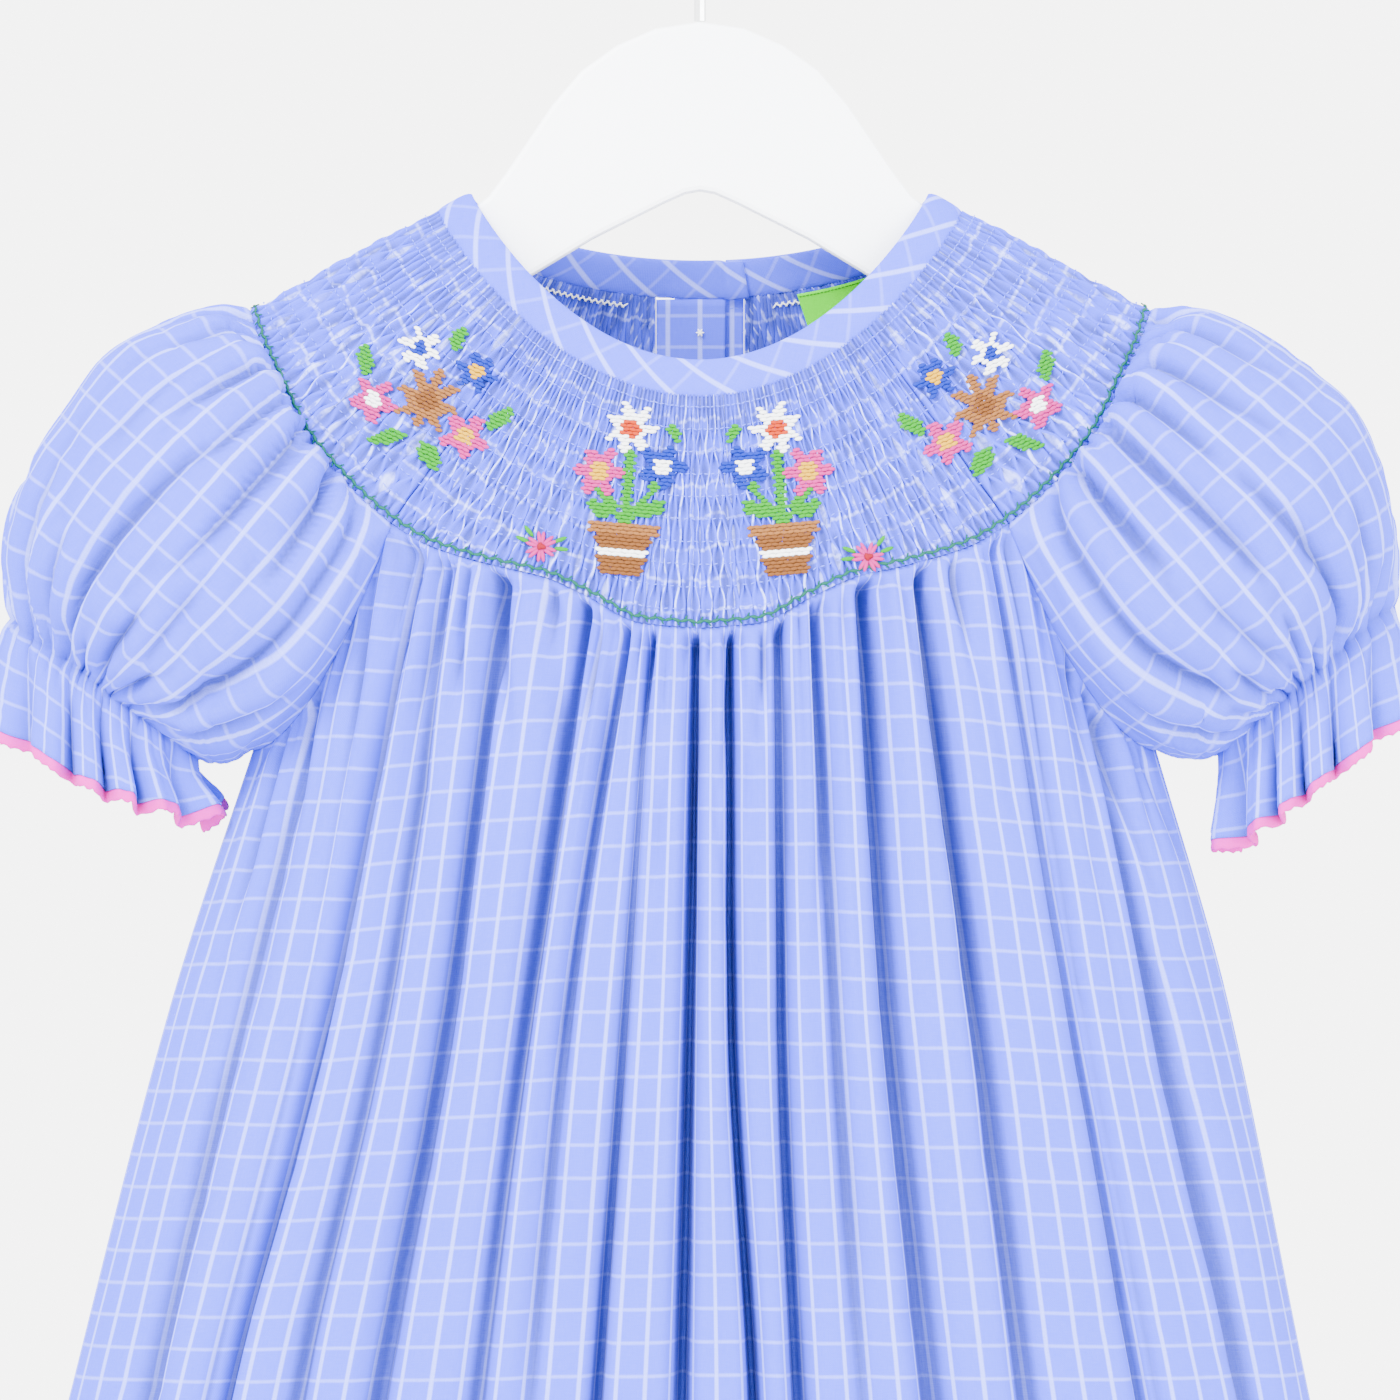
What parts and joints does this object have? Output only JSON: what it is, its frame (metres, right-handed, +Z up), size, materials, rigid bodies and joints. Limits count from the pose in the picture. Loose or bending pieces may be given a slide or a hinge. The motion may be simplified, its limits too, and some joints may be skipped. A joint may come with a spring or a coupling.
{
  "type": "smocked dress on a hanger",
  "caption": "Child's bishop dress in blue checked cotton, with a smocked yoke, puffed sleeves with pink-edged frills and a gathered skirt, on a white hanger.",
  "frame": {"origin": "inside top of the hanger's hook, where a rod carries it", "axes": "+X is the viewer's right as the front of the dress is looked at, +Y points out of its back, +Z is up"},
  "size_m": [0.3967, 0.1102, 0.5695],
  "materials": {
    "check_cotton": "matt woven cotton in periwinkle blue with a white windowpane check",
    "pink_edging": "matt pink binding",
    "green_label": "satin woven label, bare",
    "white_button": "gloss",
    "white_board": "smooth white paint",
    "hook_steel": "polished wire"
  },
  "bodies": {
    "root": {"neck_binding": "check_cotton", "yoke_front": "check_cotton", "yoke_sleeve_left": "check_cotton", "yoke_sleeve_right": "check_cotton", "yoke_back_left": "check_cotton", "yoke_back_right": "check_cotton", "front_panel": "check_cotton", "back_panel": "check_cotton", "sleeve_left": "check_cotton", "sleeve_right": "check_cotton", "placket_under": "check_cotton", "placket_over": "check_cotton", "edging_left": "pink_edging", "edging_right": "pink_edging", "neck_label": "green_label", "button_1": "white_button", "button_2": "white_button", "button_3": "white_button", "hanger_board": "white_board", "hanger_hook": "hook_steel"}
  },
  "joints": []
}
